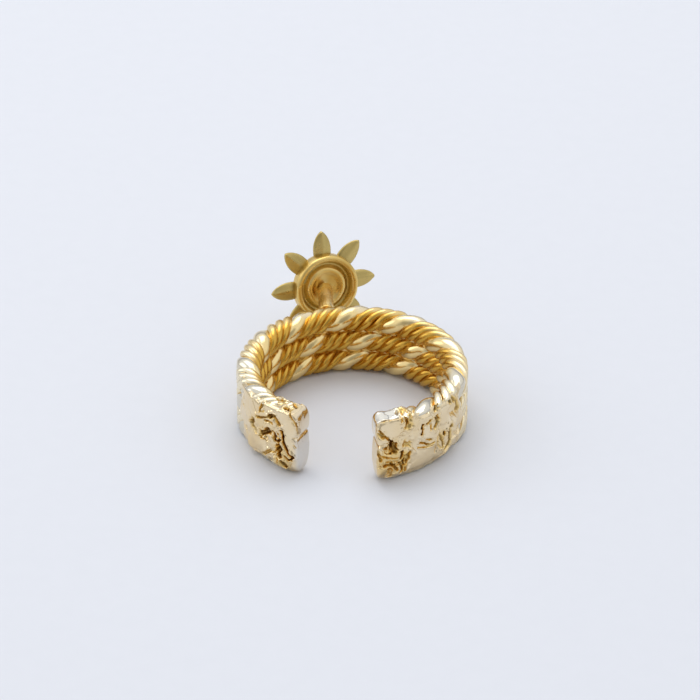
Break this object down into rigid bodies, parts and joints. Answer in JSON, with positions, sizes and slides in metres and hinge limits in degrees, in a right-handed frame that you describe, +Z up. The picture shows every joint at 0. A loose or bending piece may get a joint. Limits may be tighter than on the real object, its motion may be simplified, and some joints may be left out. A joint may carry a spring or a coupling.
{
  "type": "ear cuff",
  "caption": "Open gold-plated ear cuff: three soldered rows of twisted rope wire with fused ends, and an eight-rayed sun on a short post at the back.",
  "frame": {"origin": "centre of the bounding box, on the surface that the cuff lies on", "axes": "+Z up along the axis of the band, -Y towards the gap for the ear, +Y towards the sun"},
  "size_m": [0.0142, 0.019, 0.0073],
  "materials": {
    "gold_band": "polished gold plating",
    "gold_sun": "satin gold plating",
    "gold_post": "plain gold plating"
  },
  "bodies": {
    "root": {"rope_band": "gold_band", "charm_post": "gold_post", "sun_charm": "gold_sun"}
  },
  "joints": []
}
